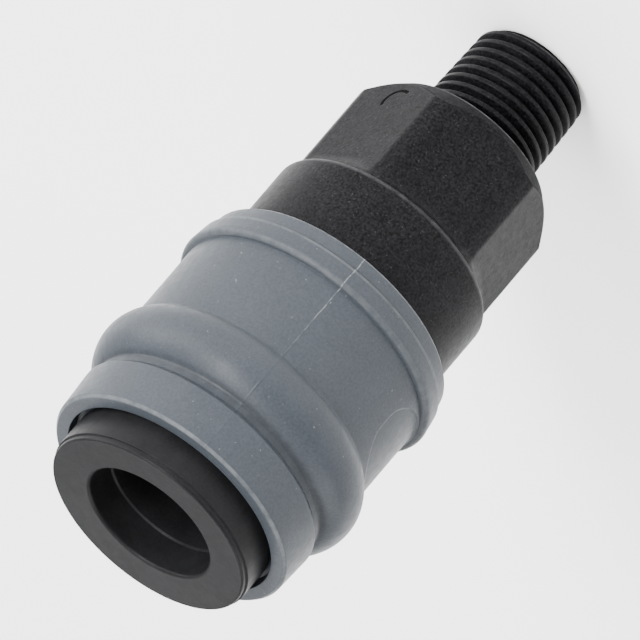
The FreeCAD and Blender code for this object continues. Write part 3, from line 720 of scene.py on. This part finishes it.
def makeThread(inputs):
    tree, take, identifiers = newTree("pipeThread", inputs)
    tube = tree.nodes.new("GeometryNodeMeshCylinder")
    tube.inputs["Radius"].default_value = 1.0
    tube.inputs["Depth"].default_value = 1.0
    plug(tree, take["Section Points"], tube.inputs["Vertices"])
    plug(tree, take["Steps"], tube.inputs["Side Segments"])
    side, top, up = coordinates(tree, tree.nodes.new("GeometryNodeInputPosition").outputs[0])
    # the two flanks would meet in a peak above the flat crest
    peak = total(tree, take["Depth"], product(tree, take["Crest Flat"], 0.5, take["Flank Slope"]))
    # half width of the foot, where the flank passes just under the root
    foot = calc(tree, "DIVIDE", total(tree, peak, take["Flank Under Root"]), take["Flank Slope"])
    offset = product(tree, side, foot)
    slant = product(tree, calc(tree, "ABSOLUTE", offset), take["Flank Slope"])
    tent = calc(tree, "SMOOTH_MIN", difference(tree, peak, slant), take["Depth"], take["Crest Round"])
    # over its last turns the ridge sinks into the root
    turned = product(tree, total(tree, up, 0.5), take["Turns"])
    left = calc(tree, "DIVIDE", difference(tree, take["Turns"], turned), take["Run Out Turns"])
    fade = spread(tree, left, 0.0, 1.0, 0.0, 1.0, "SMOOTHSTEP")
    sunk = product(tree, difference(tree, fade, 1.0), take["Run Out Under Root"])
    ridge = total(tree, product(tree, tent, fade), sunk)
    isTop = calc(tree, "GREATER_THAN", top, take["Section Split"])
    below = product(tree, take["Sunk Foot"], difference(tree, isTop, 1.0))
    lift = total(tree, product(tree, ridge, isTop), below)
    height = total(tree, product(tree, turned, take["Pitch"]), take["Start Height"], offset)
    root = total(tree, take["Root At Start"], product(tree, height, take["Taper"]))
    # the bevel at the thread's end cuts the ridge at 45 degrees
    bevel = total(tree, take["End Radius"], calc(tree, "MAXIMUM", height, 0.0))
    reach = calc(tree, "MINIMUM", total(tree, root, lift), bevel)
    angle = product(tree, total(tree, turned, take["Start Turn"]), 2 * math.pi)
    standing = calc(tree, "MAXIMUM", height, take["Lowest Point"])
    closeTree(tree, placeRound(tree, tube.outputs["Mesh"], reach, angle, standing), bodyNylon)
    return pieceFromTree("pipe_thread_ridge", tree, identifiers, inputs, bodyNylon)


threadRidge = makeThread(threadInputs)
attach(threadRidge, "coupling_body")
print("stage: thread made,", len(threadRidge.data.polygons), "faces")


# Round-wire springs with closed ends, standing on the axis
sleeveSpringInputs = {
    "Steps": 420, "Wire Points": 14, "Turns": 6.0, "Radius": 11.625 * mm, "Wire": 1.1 * mm,
    "Bottom": 43.2 * mm, "Height": 11.0 * mm,
}
valveSpringInputs = {
    "Steps": 420, "Wire Points": 14, "Turns": 7.0, "Radius": 4.4 * mm, "Wire": 0.9 * mm,
    "Bottom": 33.2 * mm, "Height": 11.2 * mm,
}


def springTree(inputs):
    tree, take, identifiers = newTree("roundWireSpring", inputs)
    line = tree.nodes.new("GeometryNodeCurvePrimitiveLine")
    line.inputs["End"].default_value = (0.0, 0.0, 1.0)
    finer = tree.nodes.new("GeometryNodeResampleCurve")
    tree.links.new(line.outputs[0], finer.inputs["Curve"])
    plug(tree, take["Steps"], finer.inputs["Count"])
    turned = product(tree, tree.nodes.new("GeometryNodeSplineParameter").outputs["Factor"], take["Turns"])
    left = difference(tree, take["Turns"], turned)
    # the first and the last turn rise by one wire each, and the turns between them by the rest
    lastTurn = difference(tree, 1.0, calc(tree, "MINIMUM", left, 1.0))
    closedRise = product(tree, total(tree, calc(tree, "MINIMUM", turned, 1.0), lastTurn), take["Wire"])
    openTurned = calc(tree, "DIVIDE", difference(tree, turned, 1.0), difference(tree, take["Turns"], 2.0))
    share = spread(tree, openTurned, 0.0, 1.0, 0.0, 1.0)
    openRise = product(tree, share, difference(tree, take["Height"], product(tree, take["Wire"], 3.0)))
    start = total(tree, take["Bottom"], product(tree, take["Wire"], 0.5))
    height = total(tree, closedRise, openRise, start)
    angle = product(tree, turned, 2 * math.pi)
    coil = placeRound(tree, finer.outputs["Curve"], take["Radius"], angle, height)
    ring = tree.nodes.new("GeometryNodeCurvePrimitiveCircle")
    plug(tree, take["Wire Points"], ring.inputs["Resolution"])
    plug(tree, product(tree, take["Wire"], 0.5), ring.inputs["Radius"])
    swept = tree.nodes.new("GeometryNodeCurveToMesh")
    swept.inputs["Fill Caps"].default_value = True
    tree.links.new(coil, swept.inputs["Curve"])
    tree.links.new(ring.outputs["Curve"], swept.inputs["Profile Curve"])
    closeTree(tree, swept.outputs["Mesh"], springSteel)
    return tree, identifiers


coilTree, coilIdentifiers = springTree(sleeveSpringInputs)


def makeSpring(node, inputs):
    spring = pieceFromTree(node + "_coil", coilTree, coilIdentifiers, inputs, springSteel)
    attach(spring, "coupling_body")
    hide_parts(node)
    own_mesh(spring)


makeSpring("sleeve_spring", sleeveSpringInputs)
makeSpring("valve_spring", valveSpringInputs)
print("stage: springs made")

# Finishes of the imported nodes
nodeFinishes = {
    "nose_body": noseNylon, "plug_packing": rubberBlack, "seat_ring": innerAcetal, "snap_ring": springSteel,
    "seat_o_ring": rubberBlack, "barrel_o_ring": rubberBlack, "valve_guide": innerAcetal,
    "valve_poppet": innerAcetal, "valve_seal": rubberBlack, "threaded_body": bodyNylon,
    "release_sleeve": sleevePlastic, "sleeve_spring": springSteel, "valve_spring": springSteel,
}
for name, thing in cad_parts.items():
    finish = ballSteel if name.startswith("lock_ball") else nodeFinishes[name]
    thing.data.materials.clear()
    thing.data.materials.append(finish)
print("stage: packed pieces dressed")


# Pale floor just under the thread's end
floorLook = {"half": 2000.0, "height": -0.02, "colour": (0.94, 0.94, 0.94), "rough": 0.9, "specular": 0.1}


def addFloor(look):
    material, shader = newMaterial("paleFloor")
    shader.inputs["Base Color"].default_value = look["colour"] + (1.0,)
    shader.inputs["Roughness"].default_value = look["rough"]
    shader.inputs["Specular IOR Level"].default_value = look["specular"]
    half, height = look["half"] * mm, look["height"] * mm
    points = [(-half, -half, height), (half, -half, height), (half, half, height), (-half, half, height)]
    floor = meshFrom("floor", points, [(0, 1, 2, 3)], material)


# Plain sky: bright behind and above the object, dim on the camera's side
skyLook = {"front": 0.15, "back": 1.1, "above": 0.6, "frontToBack": (-0.6, 0.7), "upwards": (0.3, 1.0)}


def addWorld(look):
    world = bpy.data.worlds.new("studio")
    bpy.context.scene.world = world
    world.use_nodes = True
    tree = world.node_tree
    _, y, z = coordinates(tree, tree.nodes.new("ShaderNodeTexCoord").outputs["Generated"])
    level = spread(tree, y, *look["frontToBack"], look["front"], look["back"], "SMOOTHSTEP")
    lifted = spread(tree, z, *look["upwards"], 0.0, look["above"])
    shade = tree.nodes["Background"]
    shade.inputs["Color"].default_value = (1.0, 1.0, 1.0, 1.0)
    plug(tree, total(tree, level, lifted), shade.inputs["Strength"])


# Area lights: name, azimuth and elevation in degrees, distance from the target and size in metres, watts
lights = [
    ("plusSide", -12, 14, 1.0, (1.0, 0.5), 20),
    ("tallFront", -58, 38, 1.1, (0.3, 0.8), 30),
    ("minusSide", 165, 30, 1.1, (0.7, 0.7), 10),
    ("above", -85, 76, 1.3, (1.2, 1.2), 20),
    ("behind", 85, 48, 1.3, (1.2, 0.6), 18),
]
lightTarget = (0.0, 0.0, 0.04)


def addLight(name, azimuth, elevation, distance, size, watts):
    data = bpy.data.lights.new(name, "AREA")
    data.shape = "RECTANGLE"
    data.size, data.size_y = size
    data.energy = watts
    lamp = addObject(name, data)
    around, up = math.radians(azimuth), math.radians(elevation)
    toward = Vector((math.cos(around) * math.cos(up), math.sin(around) * math.cos(up), math.sin(up)))
    lamp.location = Vector(lightTarget) + toward * distance
    lamp.rotation_mode = "QUATERNION"
    lamp.rotation_quaternion = toward.to_track_quat("Z", "Y")


# Camera, fitted to the photograph: its directions, a turn about the axis, and its place seen from the nose
cameraFit = {
    "sensor": 36.0, "lens": 1125.0, "clipStart": 0.1, "clipEnd": 20.0, "turn": -2.7,
    "forward": (0.0, 0.89085, -0.4543), "right": (-0.76052, -0.29497, -0.5784),
    "nose": (0.0, 0.0, 68.1), "shiftRight": 17.24, "shiftUp": 20.47, "distance": 2038.84,
}


def addCamera(fit):
    data = bpy.data.cameras.new("camera")
    data.sensor_width = fit["sensor"]
    data.lens = fit["lens"]
    data.clip_start = fit["clipStart"]
    data.clip_end = fit["clipEnd"]
    camera = addObject("camera", data)
    forward = Vector(fit["forward"])
    right = Vector(fit["right"]).normalized()
    up = right.cross(forward)
    place = Vector(fit["nose"]) + fit["shiftRight"] * right + fit["shiftUp"] * up
    place -= fit["distance"] * forward
    turn = Matrix.Rotation(math.radians(fit["turn"]), 3, "Z")
    axes = Matrix((turn @ right, turn @ up, turn @ -forward)).transposed()
    camera.rotation_mode = "QUATERNION"
    camera.rotation_quaternion = axes.to_quaternion()
    camera.location = turn @ place * mm
    bpy.context.scene.camera = camera


addFloor(floorLook)
addWorld(skyLook)
for light in lights:
    addLight(*light)
addCamera(cameraFit)
print("stage: floor, light and camera set")
